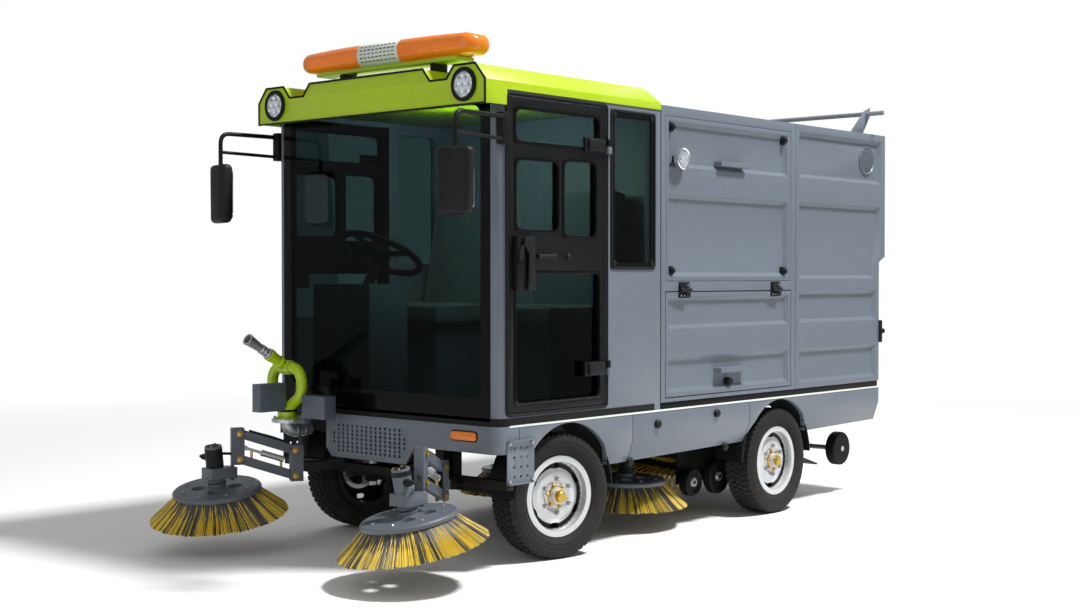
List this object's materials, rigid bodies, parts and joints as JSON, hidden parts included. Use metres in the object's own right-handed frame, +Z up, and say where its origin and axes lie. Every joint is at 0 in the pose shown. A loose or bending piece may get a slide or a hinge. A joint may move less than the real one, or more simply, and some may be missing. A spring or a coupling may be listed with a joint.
{
  "type": "electric road sweeper",
  "caption": "Ride-on road sweeper with an enclosed cab, swinging doors, lifting front disc brushes, a broom under the body, a water cannon and a hopper box with hinged hatches.",
  "frame": {"origin": "ground level below the middle of the overall length and width, as parked", "axes": "+Z up, -Y towards the front of the vehicle, +X towards its left side"},
  "size_m": [1.929, 4.0644, 2.3309],
  "materials": {
    "body_paint": "satin blue-grey body paint",
    "arm_paint": "satin blue-grey paint on the brush arms",
    "lime_paint": "gloss lime paint",
    "black_paint": "satin black paint",
    "steel": "bright machined steel",
    "rim_steel": "silver wheel steel",
    "tyre": "worn road tyre rubber",
    "wheel_rubber": "solid rubber",
    "bristle": "yellow bristles on a grey disc",
    "screen_glass": "tinted glass with a black edge",
    "pane_glass": "tinted glass",
    "lamp_plastic": "clear lamp lens",
    "amber_plastic": "amber lens",
    "cabin_plastic": "grained dark plastic",
    "seat_fabric": "woven dark seat cloth"
  },
  "bodies": {
    "chassis": {"chassis_frame": "black_paint", "frame_members": "black_paint", "suction_chute": "black_paint", "brush_frame": "black_paint", "tow_bracket": "black_paint", "front_axle": "black_paint", "rear_axle": "black_paint", "cab_shell": "body_paint", "cab_glass": "screen_glass", "roof_canopy": "lime_paint", "beacon_bar": "amber_plastic", "lamps": "lamp_plastic", "front_bumper": "body_paint", "side_skirts": "body_paint", "box_body": "body_paint", "upper_hatches": "body_paint", "rear_rack": "steel", "mirrors": "black_paint", "seat_bases": "cabin_plastic", "seat_cushions": "seat_fabric", "steering_console": "cabin_plastic", "battery_pack": "cabin_plastic", "middle_brush_drives": "black_paint", "broom_housing": "black_paint", "cannon_base": "steel"},
    "steering_left": {"knuckle_left": "steel"},
    "steering_right": {"knuckle_right": "steel"},
    "wheel_front_left": {"tyre_front_left": "tyre", "rim_front_left": "rim_steel"},
    "wheel_rear_left": {"tyre_rear_left": "tyre", "rim_rear_left": "rim_steel"},
    "wheel_front_right": {"tyre_front_right": "tyre", "rim_front_right": "rim_steel"},
    "wheel_rear_right": {"tyre_rear_right": "tyre", "rim_rear_right": "rim_steel"},
    "arm_left": {"upper_link_left": "arm_paint"},
    "lower_arm_left": {"lower_link_left": "arm_paint"},
    "post_left": {"brush_post_left": "arm_paint"},
    "brush_front_left": {"front_brush_left": "bristle"},
    "brush_middle_left": {"middle_brush_left": "bristle"},
    "arm_right": {"upper_link_right": "arm_paint"},
    "lower_arm_right": {"lower_link_right": "arm_paint"},
    "post_right": {"brush_post_right": "arm_paint"},
    "brush_front_right": {"front_brush_right": "bristle"},
    "brush_middle_right": {"middle_brush_right": "bristle"},
    "broom_roll": {"broom": "bristle"},
    "guide_front_left": {"guide_wheel_front_left": "wheel_rubber"},
    "guide_rear_left": {"guide_wheel_rear_left": "wheel_rubber"},
    "guide_front_right": {"guide_wheel_front_right": "wheel_rubber"},
    "guide_rear_right": {"guide_wheel_rear_right": "wheel_rubber"},
    "tail_axle": {"tail_wheels": "wheel_rubber"},
    "cab_door_left": {"door_left": "black_paint", "door_panes_left": "pane_glass"},
    "hatch_left": {"lower_hatch_left": "body_paint"},
    "cab_door_right": {"door_right": "black_paint", "door_panes_right": "pane_glass"},
    "hatch_right": {"lower_hatch_right": "body_paint"},
    "tail_flap": {"tail_door": "body_paint"},
    "cannon_turret": {"cannon_head": "lime_paint"},
    "cannon_barrel": {"cannon_nozzle": "steel"}
  },
  "joints": [
    {"name": "steer_left", "type": "hinge", "parent": "chassis", "child": "steering_left", "pos_m": [0.556, -0.84478, 0.28], "axis": [0, 0, 1], "range_deg": [-20.8, 43.2]},
    {"name": "steer_right", "type": "hinge", "parent": "chassis", "child": "steering_right", "pos_m": [-0.556, -0.84478, 0.28], "axis": [0, 0, 1], "range_deg": [-20.8, 43.2]},
    {"name": "wheel_front_left_spin", "type": "hinge", "parent": "steering_left", "child": "wheel_front_left", "pos_m": [0.64674, -0.86275, 0.28], "axis": [0.981, -0.1942, 0], "continuous": true},
    {"name": "wheel_rear_left_spin", "type": "hinge", "parent": "chassis", "child": "wheel_rear_left", "pos_m": [0.6485, 0.90222, 0.28], "axis": [1, 0, 0], "continuous": true},
    {"name": "wheel_front_right_spin", "type": "hinge", "parent": "steering_right", "child": "wheel_front_right", "pos_m": [-0.64674, -0.82681, 0.28], "axis": [-0.981, 0.1942, 0], "continuous": true},
    {"name": "wheel_rear_right_spin", "type": "hinge", "parent": "chassis", "child": "wheel_rear_right", "pos_m": [-0.6485, 0.90222, 0.28], "axis": [1, 0, 0], "continuous": true},
    {"name": "arm_left_lift", "type": "hinge", "parent": "chassis", "child": "arm_left", "pos_m": [0.489, -1.39778, 0.442], "axis": [-0.8934, -0.4493, 0], "range_deg": [-19.4, 8]},
    {"name": "lower_link_left_pivot", "type": "hinge", "parent": "chassis", "child": "lower_arm_left", "pos_m": [0.489, -1.39778, 0.322], "axis": [-0.8934, -0.4493, 0], "range_deg": [-19.4, 8]},
    {"name": "post_left_pivot", "type": "hinge", "parent": "arm_left", "child": "post_left", "pos_m": [0.60717, -1.63274, 0.532], "axis": [-0.8934, -0.4493, 0], "range_deg": [-8, 19.4]},
    {"name": "brush_front_left_spin", "type": "hinge", "parent": "post_left", "child": "brush_front_left", "pos_m": [0.637, -1.73578, 0.275], "axis": [-0.068, -0.1595, 0.9848], "continuous": true},
    {"name": "brush_middle_left_spin", "type": "hinge", "parent": "chassis", "child": "brush_middle_left", "pos_m": [0.362, 0.04722, 0.23], "axis": [0.03, 0, 0.9996], "continuous": true},
    {"name": "arm_right_lift", "type": "hinge", "parent": "chassis", "child": "arm_right", "pos_m": [-0.489, -1.39778, 0.442], "axis": [-0.8934, 0.4493, 0], "range_deg": [-19.4, 8]},
    {"name": "lower_link_right_pivot", "type": "hinge", "parent": "chassis", "child": "lower_arm_right", "pos_m": [-0.489, -1.39778, 0.322], "axis": [-0.8934, 0.4493, 0], "range_deg": [-19.4, 8]},
    {"name": "post_right_pivot", "type": "hinge", "parent": "arm_right", "child": "post_right", "pos_m": [-0.60717, -1.63274, 0.532], "axis": [-0.8934, 0.4493, 0], "range_deg": [-8, 19.4]},
    {"name": "brush_front_right_spin", "type": "hinge", "parent": "post_right", "child": "brush_front_right", "pos_m": [-0.637, -1.73578, 0.275], "axis": [0.068, -0.1595, 0.9848], "continuous": true},
    {"name": "brush_middle_right_spin", "type": "hinge", "parent": "chassis", "child": "brush_middle_right", "pos_m": [-0.362, 0.04722, 0.23], "axis": [-0.03, 0, 0.9996], "continuous": true},
    {"name": "broom_spin", "type": "hinge", "parent": "chassis", "child": "broom_roll", "pos_m": [0, 0.55222, 0.256], "axis": [1, 0, 0], "continuous": true},
    {"name": "guide_front_left_spin", "type": "hinge", "parent": "chassis", "child": "guide_front_left", "pos_m": [0.489, 0.43722, 0.191], "axis": [1, 0, 0], "continuous": true},
    {"name": "guide_rear_left_spin", "type": "hinge", "parent": "chassis", "child": "guide_rear_left", "pos_m": [0.489, 0.66822, 0.2], "axis": [1, 0, 0], "continuous": true},
    {"name": "guide_front_right_spin", "type": "hinge", "parent": "chassis", "child": "guide_front_right", "pos_m": [-0.489, 0.43722, 0.191], "axis": [1, 0, 0], "continuous": true},
    {"name": "guide_rear_right_spin", "type": "hinge", "parent": "chassis", "child": "guide_rear_right", "pos_m": [-0.489, 0.66822, 0.2], "axis": [1, 0, 0], "continuous": true},
    {"name": "tail_wheels_spin", "type": "hinge", "parent": "chassis", "child": "tail_axle", "pos_m": [0, 1.77222, 0.262], "axis": [1, 0, 0], "continuous": true},
    {"name": "door_left_hinge", "type": "hinge", "parent": "chassis", "child": "cab_door_left", "pos_m": [0.755, -0.58178, 1.3], "axis": [0, 0, 1], "range_deg": [0, 80]},
    {"name": "hatch_left_hinge", "type": "hinge", "parent": "chassis", "child": "hatch_left", "pos_m": [0.753, 0.43222, 1.196], "axis": [0, -1, 0], "range_deg": [0, 95]},
    {"name": "door_right_hinge", "type": "hinge", "parent": "chassis", "child": "cab_door_right", "pos_m": [-0.755, -0.58178, 1.3], "axis": [0, 0, -1], "range_deg": [0, 80]},
    {"name": "hatch_right_hinge", "type": "hinge", "parent": "chassis", "child": "hatch_right", "pos_m": [-0.753, 0.43222, 1.196], "axis": [0, 1, 0], "range_deg": [0, 95]},
    {"name": "tail_door_hinge", "type": "hinge", "parent": "chassis", "child": "tail_flap", "pos_m": [0, 2.00822, 2.011], "axis": [1, 0, 0], "range_deg": [0, 90]},
    {"name": "cannon_turn", "type": "hinge", "parent": "chassis", "child": "cannon_turret", "pos_m": [-0.508, -1.42778, 0.6], "axis": [0, 0, 1], "range_deg": [-65, 60]},
    {"name": "cannon_tilt", "type": "hinge", "parent": "cannon_turret", "child": "cannon_barrel", "pos_m": [-0.508, -1.42778, 0.835], "axis": [-1, 0, 0], "range_deg": [-25, 45]}
  ],
  "couplings": [
    {"joint": "steer_right", "follows": "steer_left", "ratio": 1},
    {"joint": "lower_link_left_pivot", "follows": "arm_left_lift", "ratio": 1},
    {"joint": "post_left_pivot", "follows": "arm_left_lift", "ratio": -1},
    {"joint": "lower_link_right_pivot", "follows": "arm_right_lift", "ratio": 1},
    {"joint": "post_right_pivot", "follows": "arm_right_lift", "ratio": -1}
  ]
}
